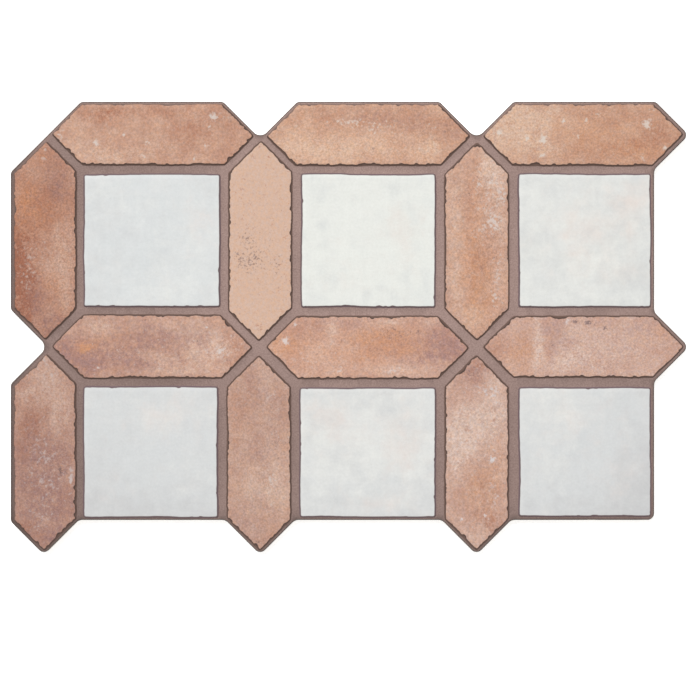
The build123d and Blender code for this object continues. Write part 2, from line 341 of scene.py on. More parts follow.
# What each face shows, by row and column. Fired is the tint it came out with and sandy how gritty it is.
# Chips are (across, up, width mm, depth mm) and tones are (across, up, reach across, reach up, strength),
# where -1 to 1 spans the face from left to right and bottom to top.
faceLooks = {
    "lying00": dict(
        fired=(0.98, 0.96, 0.94),
        chips=[(-0.60, -0.94, 4, 1.0), (-0.52, -0.96, 3, 0.8), (-0.38, -0.98, 4, 0.7),
               (-0.02, -0.97, 7, 0.8), (-0.84, -0.56, 5, 1.5), (-0.79, -0.70, 4, 1.0),
               (0.75, -0.73, 5, 1.6), (0.93, 0.13, 4, 1.2), (0.97, -0.16, 4, 1.0)],
        rust=[(-0.48, 0.62, 0.20, 0.30, 0.6), (0.0, 0.8, 0.6, 0.2, 0.3), (0.5, 0.2, 0.3, 0.5, 0.35),
              (0.25, -0.3, 0.3, 0.4, 0.2)],
        peach=[(-0.72, -0.4, 0.25, 0.5, 0.35), (-0.45, -0.75, 0.4, 0.25, 0.5), (0.0, -0.4, 0.3, 0.4, 0.3),
               (-0.75, 0.45, 0.2, 0.3, 0.15)],
        bloom=[(0.61, 0.57, 0.04, 0.15, 2.2), (0.72, 0.65, 0.08, 0.15, 0.9), (-0.92, 0.0, 0.05, 0.25, 1.2),
               (-0.56, -0.28, 0.03, 0.1, 2.4), (-0.27, 0.01, 0.025, 0.08, 2.2),
               (-0.04, -0.25, 0.025, 0.08, 2.2), (0.57, 0.24, 0.025, 0.08, 2.1),
               (0.54, -0.35, 0.025, 0.08, 2.1), (0.42, -0.78, 0.03, 0.08, 2.1),
               (-0.09, -0.71, 0.03, 0.08, 1.9)],
    ),
    "lying01": dict(
        fired=(1.08, 1.10, 1.06),
        chips=[(-0.06, -0.97, 8, 1.0), (0.48, -0.96, 4, 1.5), (-0.74, -0.96, 5, 1.1), (0.99, -0.1, 4, 0.9),
               (-0.92, 0.13, 5, 1.0), (-0.81, 0.53, 4, 0.9), (0.82, -0.66, 4, 0.9)],
        rust=[(-0.2, 0.6, 0.9, 0.35, 0.3), (0.75, 0.2, 0.25, 0.6, 0.3), (0.1, 0.25, 0.5, 0.3, 0.15)],
        rose=[(-0.05, 0.6, 0.3, 0.35, 0.3), (0.45, 0.4, 0.3, 0.4, 0.3), (0.85, 0.1, 0.12, 0.4, 0.3)],
        peach=[(-0.45, -0.45, 0.5, 0.4, 0.45), (0.1, -0.65, 0.5, 0.35, 0.15),
               (0.62, -0.4, 0.12, 0.45, 0.6)],
        bloom=[(-0.25, 0.4, 0.15, 0.2, 0.8), (-0.05, 0.35, 0.2, 0.25, 0.6), (0.15, 0.1, 0.2, 0.4, 0.5),
               (0.4, -0.5, 0.3, 0.15, 0.6), (-0.75, 0.2, 0.15, 0.25, 0.5), (0.65, 0.3, 0.08, 0.15, 0.7)],
        smoke=[(0.04, -0.45, 0.02, 0.06, 1.6), (0.3, -0.47, 0.02, 0.05, 1.1),
               (0.77, 0.12, 0.05, 0.06, 1.1)],
    ),
    "lying02": dict(
        fired=(1.0, 0.99, 0.95),
        chips=[(-0.50, -0.93, 9, 1.7), (-0.70, -0.87, 4, 1.0), (-0.37, 1.0, 4, 0.8), (-0.65, 1.0, 3, 0.8),
               (-0.93, -0.15, 5, 0.9)],
        peach=[(-0.7, 0.2, 0.3, 0.8, 0.9), (-0.9, 0.0, 0.2, 0.3, 0.6), (-0.4, 0.5, 0.3, 0.4, 0.4),
               (-0.45, -0.4, 0.25, 0.4, 0.4), (-0.6, 0.8, 0.3, 0.2, 0.2)],
        rust=[(0.35, -0.45, 0.4, 0.4, 0.45), (0.2, 0.6, 0.3, 0.3, 0.3), (0.75, 0.1, 0.25, 0.5, 0.4)],
        ember=[(0.0, 0.1, 0.4, 0.5, 0.3), (0.6, -0.6, 0.3, 0.3, 0.3)],
        bloom=[(-0.42, -0.14, 0.04, 0.16, 2.8), (-0.58, -0.11, 0.025, 0.12, 2.2),
               (0.62, 0.32, 0.06, 0.2, 1.9), (-0.86, 0.05, 0.035, 0.12, 2.4),
               (-0.21, 0.46, 0.025, 0.08, 2.2), (0.02, 0.45, 0.025, 0.08, 2.1),
               (-0.43, -0.67, 0.025, 0.08, 2.2), (-0.07, -0.08, 0.025, 0.07, 2.0),
               (0.14, 0.64, 0.025, 0.07, 2.0), (0.58, -0.77, 0.025, 0.08, 2.4),
               (0.8, -0.44, 0.025, 0.08, 2.4), (0.68, 0.85, 0.1, 0.1, 1.0)],
    ),
    "lying10": dict(
        fired=(0.97, 0.96, 0.98),
        chips=[(0.73, 0.71, 7, 1.8), (-0.09, 0.99, 4, 0.8), (-0.06, -0.99, 4, 0.9), (0.07, -0.99, 3, 0.7),
               (-0.90, -0.31, 4, 1.0), (0.53, -0.97, 4, 0.8)],
        rose=[(-0.2, 0, 0.9, 1.2, 0.4), (-0.78, -0.3, 0.25, 0.6, 0.9), (-0.25, -0.5, 0.3, 0.4, 0.3),
              (0.0, 0.4, 0.3, 0.4, 0.3), (0.45, 0.2, 0.12, 0.5, 0.4)],
        ember=[(-0.65, -0.03, 0.1, 0.2, 0.8), (-0.4, 0.3, 0.25, 0.3, 0.3)],
        rust=[(-0.88, -0.1, 0.15, 0.4, 0.5), (0.8, 0.0, 0.2, 0.6, 0.45), (-0.35, -0.6, 0.3, 0.25, 0.3),
              (-0.6, -0.5, 0.2, 0.3, 0.2)],
        peach=[(0.6, -0.2, 0.25, 0.6, 0.9), (-0.5, 0.65, 0.25, 0.3, 0.5), (0.1, -0.35, 0.12, 0.2, 0.5),
               (0.2, -0.8, 0.3, 0.15, 0.5), (0.35, 0.7, 0.3, 0.3, 0.4)],
        bloom=[(0.67, -0.18, 0.03, 0.12, 2.2), (-0.55, -0.7, 0.025, 0.08, 2.0),
               (0.55, 0.65, 0.02, 0.06, 2.0), (0.7, 0.2, 0.3, 0.5, 0.5), (0.1, -0.2, 0.6, 0.8, 0.35)],
        smoke=[(0.45, 0.18, 0.02, 0.07, 1.7), (-0.06, 0.88, 0.03, 0.05, 1.3),
               (0.76, -0.44, 0.02, 0.05, 1.3)],
    ),
    "lying11": dict(
        fired=(1.02, 1.02, 1.05),
        chips=[(0.76, 0.79, 12, 1.8), (-0.30, -0.94, 4, 1.5), (-0.09, 0.99, 5, 0.8), (0.36, -0.98, 7, 0.7)],
        ember=[(-0.8, 0.05, 0.2, 0.4, 0.5), (0.15, 0.2, 0.4, 0.5, 0.45), (-0.2, -0.4, 0.4, 0.4, 0.25)],
        rust=[(0.3, 0.15, 0.35, 0.4, 0.35), (-0.6, 0.5, 0.2, 0.3, 0.25)],
        rose=[(0.75, 0.05, 0.25, 0.7, 0.85), (0.5, -0.3, 0.25, 0.4, 0.4), (-0.3, 0.75, 0.4, 0.2, 0.4),
              (0.9, -0.1, 0.1, 0.3, 0.4)],
        peach=[(-0.36, 0.5, 0.06, 0.3, 0.8), (-0.4, -0.4, 0.3, 0.5, 0.25), (0.3, -0.8, 0.35, 0.2, 0.5),
               (0.2, 0.8, 0.15, 0.15, 0.6), (0.7, 0.85, 0.2, 0.15, 0.5)],
        bloom=[(-0.83, 0.17, 0.04, 0.12, 2.2), (-0.74, 0.7, 0.03, 0.08, 1.9), (0.3, -0.8, 0.15, 0.12, 1.0),
               (-0.55, -0.25, 0.3, 0.4, 0.5), (-0.3, -0.75, 0.1, 0.1, 0.8)],
        smoke=[(0.25, 0.4, 0.2, 0.3, 0.9), (0.5, 0.5, 0.03, 0.06, 1.6), (-0.52, -0.01, 0.02, 0.05, 1.6),
               (-0.51, -0.26, 0.02, 0.05, 1.6), (0.15, -0.1, 0.1, 0.15, 0.7), (-0.25, 0.2, 0.15, 0.2, 0.5)],
    ),
    "lying12": dict(
        fired=(1.02, 1.08, 1.17),
        chips=[(-0.26, 0.99, 15, 1.5), (-0.74, 0.71, 5, 1.5), (-0.83, -0.48, 5, 1.1),
               (-0.03, -0.95, 4, 0.9), (0.24, -0.96, 4, 0.8)],
        peach=[(0.2, -0.3, 0.6, 0.9, 0.4), (-0.47, 0.0, 0.05, 0.8, 0.9), (0.0, 0.5, 0.3, 0.3, 0.3),
               (-0.15, -0.4, 0.2, 0.4, 0.4)],
        ember=[(-0.62, -0.2, 0.25, 0.6, 0.4), (0.8, 0.5, 0.2, 0.3, 0.3)],
        rust=[(-0.62, -0.1, 0.18, 0.5, 0.3), (-0.9, 0.0, 0.1, 0.3, 0.3), (0.85, 0.1, 0.15, 0.4, 0.3)],
        rose=[(-0.3, 0.3, 0.15, 0.6, 0.4), (0.6, 0.6, 0.3, 0.3, 0.3), (0, 0, 1, 1, 0.2)],
        bloom=[(-0.18, 0.84, 0.04, 0.14, 1.4), (0.2, -0.7, 0.4, 0.2, 0.4)],
        smoke=[(-0.08, 0.8, 0.045, 0.09, 2.2), (0.05, 0.8, 0.055, 0.08, 2.2), (0.2, 0.62, 0.035, 0.08, 2.0),
               (0.3, 0.6, 0.02, 0.06, 1.6), (-0.32, 0.04, 0.02, 0.08, 1.5)],
    ),
    "standing00": dict(
        fired=(0.82, 0.73, 0.70), sandy=1.3,
        chips=[(0.73, 0.78, 4, 1.0), (0.98, 0.68, 5, 0.9), (0.96, 0.10, 5, 0.9), (0.93, -0.31, 4, 1.0),
               (-0.96, 0.45, 3, 0.8), (-0.6, 0.80, 4, 0.8)],
        ember=[(-0.55, 0.35, 0.4, 0.25, 0.7), (0.0, 0.85, 0.3, 0.12, 0.4), (0.3, -0.43, 0.25, 0.1, 0.6),
               (0.3, 0.3, 0.4, 0.2, 0.3)],
        rust=[(-0.95, -0.1, 0.3, 0.3, 1.1), (-0.7, -0.4, 0.45, 0.3, 1.2), (-0.6, -0.75, 0.3, 0.15, 0.7),
              (0.1, 0.4, 0.6, 0.25, 0.4), (-0.3, 0.05, 0.4, 0.2, 0.4)],
        rose=[(0.45, 0.6, 0.35, 0.2, 0.6), (0.2, -0.85, 0.4, 0.15, 0.6), (-0.25, -0.6, 0.3, 0.15, 0.6)],
        peach=[(0.65, -0.15, 0.35, 0.25, 1.1), (0.75, -0.55, 0.2, 0.25, 0.7), (0.1, -0.25, 0.3, 0.2, 0.5)],
        bloom=[(0.0, 0.83, 0.1, 0.02, 2.0), (0.1, 0.95, 0.12, 0.03, 1.8), (-0.4, -0.2, 0.4, 0.25, 0.8),
               (-0.6, -0.45, 0.2, 0.15, 0.7)],
        smoke=[(0.05, 0.63, 0.05, 0.02, 1.3), (0.2, -0.62, 0.04, 0.015, 1.1)],
    ),
    "standing01": dict(
        fired=(0.99, 0.98, 0.97), sandy=0.35,
        chips=[(-1.0, 0.67, 10, 1.2), (1.0, 0.52, 6, 1.2), (0.68, 0.80, 5, 1.1), (-0.87, -0.76, 5, 1.1),
               (0.68, -0.79, 4, 0.9)],
        peach=[(0, 0, 2, 2, 3.0)],
        rose=[(-0.2, 0.85, 0.4, 0.15, 0.2)],
        ember=[(0.28, 0.64, 0.06, 0.02, 1.3)],
        smoke=[(-0.45, 0.03, 0.3, 0.08, 0.8), (-0.65, -0.2, 0.25, 0.1, 0.75),
               (-0.15, -0.2, 0.3, 0.09, 0.85), (0.6, -0.25, 0.2, 0.1, 0.7), (-0.1, -0.1, 0.9, 0.3, 0.45)],
    ),
    "standing02": dict(
        fired=(0.985, 1.0, 1.02), sandy=1.15,
        chips=[(-0.95, 0.61, 9, 1.1), (0.98, 0.45, 5, 1.1), (1.0, 0.32, 4, 0.9), (-0.37, -0.86, 4, 1.0),
               (0.53, -0.83, 4, 0.9), (0.0, 1.0, 8, 1.3)],
        ember=[(-0.1, -0.2, 0.6, 0.5, 0.4), (0.1, 0.6, 0.4, 0.3, 0.25), (0.1, -0.7, 0.5, 0.2, 0.4)],
        rust=[(0.1, 0.7, 0.5, 0.25, 0.4), (0.0, -0.25, 0.5, 0.35, 0.35), (0.5, 0.15, 0.3, 0.3, 0.3),
              (-0.3, 0.35, 0.3, 0.3, 0.25)],
        peach=[(-0.7, 0.2, 0.25, 0.6, 0.5), (0.7, 0.3, 0.3, 0.4, 0.5), (-0.2, -0.8, 0.5, 0.15, 0.4),
               (-0.7, -0.5, 0.25, 0.25, 0.3), (0.5, 0.72, 0.45, 0.18, 1.1)],
        bloom=[(0.05, 0.57, 0.12, 0.05, 1.4), (0.6, 0.62, 0.25, 0.12, 1.5), (0.85, 0.45, 0.12, 0.1, 1.4),
               (0.5, 0.2, 0.35, 0.2, 1.1), (0.7, -0.3, 0.2, 0.2, 0.9), (0.65, -0.6, 0.15, 0.1, 1.1),
               (-0.05, -0.35, 0.06, 0.02, 1.7), (-0.75, -0.5, 0.15, 0.12, 0.9), (-0.8, 0.2, 0.1, 0.1, 0.7),
               (0.1, 0.3, 0.5, 0.4, 0.35)],
        smoke=[(-0.78, 0.33, 0.05, 0.02, 1.6), (-0.25, 0.47, 0.05, 0.04, 1.3),
               (0.55, -0.18, 0.05, 0.02, 1.6), (0.0, 0.65, 0.04, 0.02, 1.3), (0.5, -0.05, 0.04, 0.02, 1.2)],
    ),
    "standing10": dict(
        fired=(0.82, 0.785, 0.81),
        chips=[(0.8, -0.72, 6, 1.2), (0.43, -0.83, 5, 1.5), (-0.8, -0.73, 6, 1.0), (1.0, 0.0, 4, 0.8),
               (-0.27, 0.9, 4, 0.9)],
        rose=[(0, -0.1, 1.2, 0.4, 0.6), (0.0, -0.6, 1.0, 0.3, 0.6), (0.2, -0.9, 0.4, 0.1, 0.5)],
        rust=[(-0.3, 0.4, 0.6, 0.2, 0.5), (-0.2, 0.15, 0.6, 0.15, 0.3), (-0.5, -0.75, 0.35, 0.15, 0.6),
              (-0.6, 0.0, 0.3, 0.2, 0.3)],
        peach=[(0.1, 0.78, 0.5, 0.22, 0.85), (-0.5, 0.6, 0.3, 0.15, 0.6), (-0.1, -0.7, 0.4, 0.1, 0.4),
               (0.55, 0.45, 0.4, 0.25, 0.9)],
        bloom=[(-0.1, 0.1, 0.7, 0.3, 0.6), (0.2, -0.3, 0.7, 0.25, 0.7), (0.9, -0.24, 0.05, 0.1, 2.2),
               (0.05, 0.95, 0.15, 0.04, 1.4), (0.2, 0.75, 0.4, 0.15, 0.6), (-0.2, -0.65, 0.5, 0.15, 0.6)],
        smoke=[(0.57, -0.19, 0.1, 0.05, 1.7), (-0.55, -0.52, 0.06, 0.02, 1.3), (0.0, -0.1, 0.7, 0.3, 0.4)],
    ),
    "standing11": dict(
        fired=(0.94, 0.98, 1.03),
        chips=[(-0.1, -0.95, 6, 1.5), (-1.0, -0.70, 5, 1.0), (1.0, 0.55, 5, 1.0), (0.56, 0.88, 5, 1.0)],
        rose=[(0, 0.6, 0.8, 0.3, 0.3), (0.3, 0.15, 0.5, 0.2, 0.15), (-0.2, -0.05, 0.7, 0.15, 0.3),
              (-0.4, -0.7, 0.5, 0.25, 0.35)],
        rust=[(-0.5, 0.55, 0.4, 0.25, 0.35), (0.5, 0.5, 0.3, 0.2, 0.3), (-0.8, 0.1, 0.1, 0.05, 0.6),
              (0.0, -0.9, 0.4, 0.1, 0.3)],
        peach=[(0.35, -0.35, 0.5, 0.25, 0.6), (-0.5, -0.3, 0.4, 0.4, 0.1), (0.4, 0.5, 0.3, 0.3, 0.3)],
        bloom=[(0.35, -0.3, 0.25, 0.15, 0.8), (0.3, 0.55, 0.3, 0.15, 0.5), (0.5, 0.15, 0.3, 0.12, 0.5),
               (-0.3, -0.4, 0.4, 0.3, 0.3)],
        smoke=[(-0.1, -0.93, 0.12, 0.03, 1.9), (0.5, 0.1, 0.25, 0.06, 0.8), (0.6, -0.1, 0.1, 0.06, 0.8)],
    ),
    "standing12": dict(
        fired=(1.0, 1.08, 1.18),
        chips=[(-0.22, 0.92, 5, 1.4), (-0.45, 0.84, 11, 1.7), (-0.97, 0.0, 4, 0.9), (-0.42, -0.86, 5, 1.0),
               (-1.0, -0.4, 4, 0.8)],
        rust=[(-0.1, 0.82, 0.5, 0.1, 0.6), (0.1, -0.35, 0.6, 0.2, 0.5), (0.1, 0.92, 0.3, 0.08, 0.3),
              (0.4, -0.7, 0.4, 0.18, 0.5)],
        rose=[(0.0, 0.84, 0.5, 0.1, 0.45), (-0.2, 0.7, 0.4, 0.06, 0.15)],
        ember=[(0.1, -0.35, 0.6, 0.25, 0.3), (0.6, -0.05, 0.3, 0.25, 0.3)],
        peach=[(-0.5, 0.1, 0.5, 0.25, 1.2), (0.1, 0.35, 0.8, 0.15, 0.8), (-0.2, -0.85, 0.4, 0.12, 0.4),
               (0.6, 0.4, 0.3, 0.4, 0.5)],
        bloom=[(0.5, 0.62, 0.3, 0.1, 0.8), (0.5, -0.07, 0.1, 0.03, 1.9), (-0.55, -0.26, 0.06, 0.02, 1.5),
               (0.25, -0.65, 0.08, 0.03, 1.6), (-0.5, -0.68, 0.08, 0.03, 1.4), (-0.5, 0.15, 0.3, 0.15, 0.6),
               (0.6, -0.45, 0.2, 0.15, 0.7), (-0.2, 0.66, 0.4, 0.06, 0.7), (0.5, 0.05, 0.3, 0.2, 0.5)],
        smoke=[(-0.3, 0.8, 0.4, 0.08, 0.7), (-0.95, 0.0, 0.06, 0.03, 1.4), (0.0, 0.85, 0.3, 0.08, 0.5)],
    ),
    "square00": dict(
        fired=(1.0, 1.0, 1.0), cool=[(0, 0, 2, 2, 0.8)], shade=[(-1, -0.2, 0.8, 1.5, 0.3)],
        warm=[(0.3, -0.8, 0.8, 0.3, 0.3), (-0.5, 0.6, 0.4, 0.3, 0.4), (0.5, 0.0, 0.6, 0.5, 0.3)],
        cream=[(0.7, 0.3, 0.3, 0.5, 0.25)],
    ),
    "square01": dict(
        fired=(0.97, 0.98, 0.97), warm=[(0, 0, 2, 2, 1.0)], cool=[(-0.6, 0.5, 0.3, 0.4, 0.3)],
        cream=[(0.5, 0.1, 0.4, 0.5, 0.35), (-0.3, -0.6, 0.3, 0.2, 0.25)],
    ),
    "square02": dict(
        fired=(1.0, 1.0, 0.99), shade=[(0.8, -0.4, 1.2, 1.6, 0.3)],
        warm=[(0, 0, 2, 2, 0.4), (0.1, -0.3, 0.4, 0.2, 0.4)],
        cream=[(0.0, 0.1, 0.5, 0.5, 0.5), (0.7, 0.6, 0.3, 0.4, 0.6), (0.6, -0.5, 0.4, 0.2, 0.4)],
    ),
    "square10": dict(
        fired=(0.96, 0.95, 0.95), cool=[(0, 0, 2, 2, 1.0)],
        shade=[(0, -1, 2, 0.6, 0.5), (-1, -0.3, 0.5, 1, 0.3)],
        cream=[(0.3, 0.6, 0.5, 0.3, 0.35), (-0.6, -0.6, 0.3, 0.3, 0.25)],
        warm=[(0.6, -0.4, 0.4, 0.4, 0.3), (0.3, 0.6, 0.9, 0.4, 0.35)],
    ),
    "square11": dict(
        fired=(0.95, 0.95, 0.955), cool=[(0, -0.4, 0.5, 0.3, 0.6)], shade=[(0, -1, 1.5, 0.5, 0.2)],
        warm=[(0, 0.2, 2, 1, 0.65)],
        cream=[(-0.6, 0.5, 0.5, 0.4, 0.4), (0.5, 0.2, 0.3, 0.5, 0.5), (0.2, -0.8, 0.5, 0.15, 0.4)],
    ),
    "square12": dict(
        fired=(0.96, 0.95, 0.95), cool=[(0, 0, 2, 2, 0.9)],
        shade=[(1, -0.3, 0.6, 1.2, 0.6), (0, -1, 1.5, 0.5, 0.45)],
        cream=[(0.6, -0.4, 0.4, 0.5, 0.35), (-0.2, 0.5, 0.5, 0.3, 0.25)],
        warm=[(-0.5, -0.3, 0.4, 0.5, 0.3), (-0.5, 0.7, 0.7, 0.5, 0.5)],
    ),
}
toneNames = ("rust", "rose", "ember", "peach", "bloom", "smoke", "cool", "warm", "cream", "shade")

# How far the sides of a face stand out from their drawn lines, or back from them, in mm
sideNames = ("right", "upRight", "top", "upLeft", "left", "lowLeft", "bottom", "lowRight")
faceSides = {
    "lying00": dict(lowRight=1.5, bottom=-0.3, lowLeft=-0.5),
    "lying01": dict(lowRight=1.8, bottom=0.2, lowLeft=2.2),
    "lying02": dict(lowLeft=1.6, bottom=0.2, lowRight=-1.5, upRight=-1.0),
    "lying10": dict(top=1.2, bottom=0.7, lowRight=0.5, upRight=-0.3, lowLeft=-0.7),
    "lying11": dict(bottom=1.2, lowRight=0.7, upRight=-0.5, upLeft=1.0, lowLeft=1.3),
    "lying12": dict(upLeft=0.9, lowLeft=1.0, lowRight=-1.0, upRight=-0.8),
    "standing00": dict(right=1.8, lowRight=1.5, upRight=2.4, left=-0.8, upLeft=-0.8, lowLeft=-0.6),
    "standing01": dict(right=0.9, lowRight=0.4, upRight=1.5, left=0.9, upLeft=0.6, lowLeft=2.2),
    "standing02": dict(right=1.2, lowRight=1.1, upRight=0.4, left=1.2, lowLeft=0.7),
    "standing10": dict(right=1.6, upRight=2.2, left=-0.9, upLeft=-1.2, lowLeft=-0.8),
    "standing11": dict(left=2.2, upLeft=0.4, upRight=-1.2, lowRight=-0.5),
    "standing12": dict(right=1.1, left=1.2, upRight=-0.5, lowRight=-0.5),
    "square00": dict(right=1.3, top=1.6, left=1.4, bottom=1.3),
    "square01": dict(top=2.0, bottom=1.8, left=0.3),
    "square02": dict(top=2.2, bottom=1.5, left=-0.2),
    "square10": dict(top=1.3, bottom=0.8, left=1.2, right=-0.7),
    "square11": dict(top=0.4, bottom=0.7, left=1.6, right=0.2),
    "square12": dict(top=0.6, bottom=-0.3, left=-0.6),
}


# Raised faces: pickets around squares, three columns and two rows

def picketCorners(length, width, upright):
    point, flank = length / 2, width / 2
    shoulder = point - flank
    right = [Vector((shoulder, -flank)), Vector((point, 0)), Vector((shoulder, flank))]
    corners = right + [-c for c in right]
    return [Vector((-c.y, c.x)) for c in corners] if upright else corners


def squareCorners(centre):
    halfX = (pitchX - bandWidth - tile["jointWidth"]) / 2
    halfY = (pitchY - bandWidth - tile["jointWidth"]) / 2
    right = min(halfX, tile["straightLength"] / 2 - tile["squareBorder"] - centre.x)
    lower = max(-halfY, -tile["straightWidth"] / 2 + tile["squareBorder"] - centre.y)
    return [Vector((-halfX, lower)), Vector((right, lower)), Vector((right, halfY)), Vector((-halfX, halfY))]


def sideName(normal):
    return sideNames[round(math.atan2(normal.y, normal.x) / math.radians(45)) % len(sideNames)]


def moveSides(corners, sides):
    # each corner goes to where its two moved sides meet
    moved = []
    for here, first, last, turn, _ in cornerFrames(corners):
        before, after = sides.get(sideName(first), 0), sides.get(sideName(last), 0)
        slant = math.cos(turn)
        shift = first * (before - after * slant) + last * (after - before * slant)
        moved.append(here + shift / (1 - slant * slant))
    return moved


def layOutFaces():
    faces = []
    pointGap = tile["jointWidth"] * math.sqrt(2)
    for row in range(tile["rows"]):
        for column in range(tile["columns"]):
            square = modulesCentre + Vector((
                (column - (tile["columns"] - 1) / 2) * pitchX,
                ((tile["rows"] - 1) / 2 - row) * pitchY,
            ))
            # open names the sides that face the key light, where the dark edge and the stain are painted
            # lighter
            faces += [
                dict(kind="picket", name=f"lying{row}{column}", upright=False,
                     open=("top", "upLeft") if row == 0 else (),
                     centre=square + Vector((0, pitchY / 2)),
                     corners=picketCorners(pitchX - pointGap, tile["picketWidth"], False)),
                dict(kind="picket", name=f"standing{row}{column}", upright=True,
                     open=("left", "upLeft") if column == 0 else (),
                     centre=square - Vector((pitchX / 2, 0)),
                     corners=picketCorners(pitchY - pointGap, tile["picketWidth"], True)),
                dict(kind="square", name=f"square{row}{column}", upright=False, open=(),
                     centre=square, corners=squareCorners(square)),
            ]
    for face in faces:
        face["half"] = Vector([max(abs(c[i]) for c in face["corners"]) for i in (0, 1)])
        face["corners"] = moveSides(face["corners"], faceSides[face["name"]])
    return faces


# How a face rises from the joint. Each ring goes in from the face's outline by inset and lies drop below the
# face; wave and chip say how much of the edge's waviness and of its chips the ring takes. All in mm.
picketEdge = dict(
    step=0.95,
    rings=[
        dict(inset=-1.15, drop=tile["jointDepth"], wave=0.3, chip=0.0),
        dict(inset=-0.90, drop=1.30, wave=0.4, chip=0.0),
        dict(inset=-0.30, drop=0.60, wave=0.9, chip=0.4),
        dict(inset=0.25, drop=0.16, wave=1.0, chip=1.0),
        dict(inset=1.00, drop=0.03, wave=1.0, chip=1.0),
        dict(inset=4.20, drop=0.00, wave=0.0, chip=0.0),
    ],
    waves=[(0.9, 30.0), (0.8, 9.0), (0.5, 3.2)],  # size and length
    chipsEach=11.0,
    chipWidth=(1.6, 4.5),
    chipDepth=(0.35, 1.1),
)
squareEdge = dict(
    step=1.4,
    rings=[
        dict(inset=-1.05, drop=tile["jointDepth"], wave=0.8, chip=0.0),
        dict(inset=-0.75, drop=1.25, wave=0.9, chip=0.0),
        dict(inset=-0.25, drop=0.60, wave=1.0, chip=0.5),
        dict(inset=0.30, drop=0.18, wave=1.0, chip=1.0),
        dict(inset=1.00, drop=0.05, wave=1.0, chip=1.0),
        dict(inset=4.20, drop=0.00, wave=0.0, chip=0.0),
    ],
    waves=[(0.9, 42.0), (0.3, 10.0), (0.15, 4.0)],
    chipsEach=60.0,
    chipWidth=(2.0, 5.0),
    chipDepth=(0.3, 0.8),
)
wallRings = 3  # up to this ring a face has the stained wall
field = dict(cell=2.2, hollow=0.16, length=24.0)  # the flat inside, never quite flat
# Within reach of a corner, in mm, the waves shrink to the share calm and the foot to the share foot
atCorners = dict(reach=6.0, calm=0.3, foot=0.6)
# Waves go out by mostOut at most. Most chips are small; a bite is round and its edge is rough. Lengths in mm.
chipping = dict(mostOut=0.5, small=2.2, roundness=0.6, rough=0.35, roughLength=1.7)


def cornerFrames(corners):
    # for each corner: its place, the normals of the sides before and after it, their turn, and the way in
    frames = []
    for k, here in enumerate(corners):
        before = (here - corners[k - 1]).normalized()
        after = (corners[(k + 1) % len(corners)] - here).normalized()
        first, last = Vector((before.y, -before.x)), Vector((after.y, -after.x))
        turn = first.angle(last)
        wayIn = -(first + last).normalized() / math.cos(turn / 2)
        frames.append((here, first, last, turn, wayIn))
    return frames


def outlinePoint(frames, spot, inset, radius):
    # spot is (corner, on its rounding or on the straight after it, share of that stretch)
    k, onRounding, share = spot
    here, first, last, turn, wayIn = frames[k]
    centre = here + wayIn * (inset + radius)
    if onRounding:
        return centre + Matrix.Rotation(turn * share, 2) @ first * radius
    nextHere, _, _, _, nextIn = frames[(k + 1) % len(frames)]
    return centre.lerp(nextHere + nextIn * (inset + radius), share) + last * radius


def outlineSpots(frames, step):
    radius = tile["cornerRadius"]
    spots = []
    for k, (_, _, _, turn, _) in enumerate(frames):
        start = outlinePoint(frames, (k, False, 0.0), 0.0, radius)
        end = outlinePoint(frames, (k, False, 1.0), 0.0, radius)
        bends = max(2, round(turn * radius / step))
        runs = round((end - start).length / step)
        spots += [(k, True, i / bends) for i in range(bends)]
        spots += [(k, False, i / runs) for i in range(runs)]
    return spots


def edgeShape(face, edge, base, dice):
    # how far the edge goes in at each point of its outline, by waviness and by chips, and how far from a
    # corner the point is
    places = [0.0]
    for a, b in zip(base, base[1:]):
        places.append(places[-1] + (b - a).length)
    around = places[-1] + (base[0] - base[-1]).length
    seed = Vector((0, 0, dice.uniform(0, 100)))
    waves, ease = [], []
    for p in base:
        wave = sum(size * noise.noise(p.to_3d() / length + seed) for size, length in edge["waves"])
        ease.append(min(1.0, min((p - c).length for c in face["corners"]) / atCorners["reach"]))
        calm = atCorners["calm"] + (1 - atCorners["calm"]) * ease[-1]
        waves.append(max(wave, -chipping["mostOut"]) * calm)
    chips = []
    (slim, wide), (shallow, deep) = edge["chipWidth"], edge["chipDepth"]
    for _ in range(round(around / edge["chipsEach"])):
        large = dice.random() ** chipping["small"]
        place = dice.uniform(0, around)
        chips.append((place, slim + large * (wide - slim), shallow + large * (deep - shallow)))
    for across, up, width, depth in faceLooks[face["name"]].get("chips", []):
        spot = Vector((across * face["half"].x, up * face["half"].y))
        nearest = min(range(len(base)), key=lambda i: (base[i] - spot).length)
        chips.append((places[nearest], width, depth))
    bites = []
    for p, place in zip(base, places):
        bite = 0.0
        for middle, width, depth in chips:
            off = abs((place - middle + around / 2) % around - around / 2) / (width / 2)
            if off < 1:
                bite = max(bite, depth * (1 - off * off) ** chipping["roundness"])
        rough = 1 + chipping["rough"] * noise.noise(p.to_3d() / chipping["roughLength"] + seed)
        bites.append(bite * rough)
    return waves, bites, ease


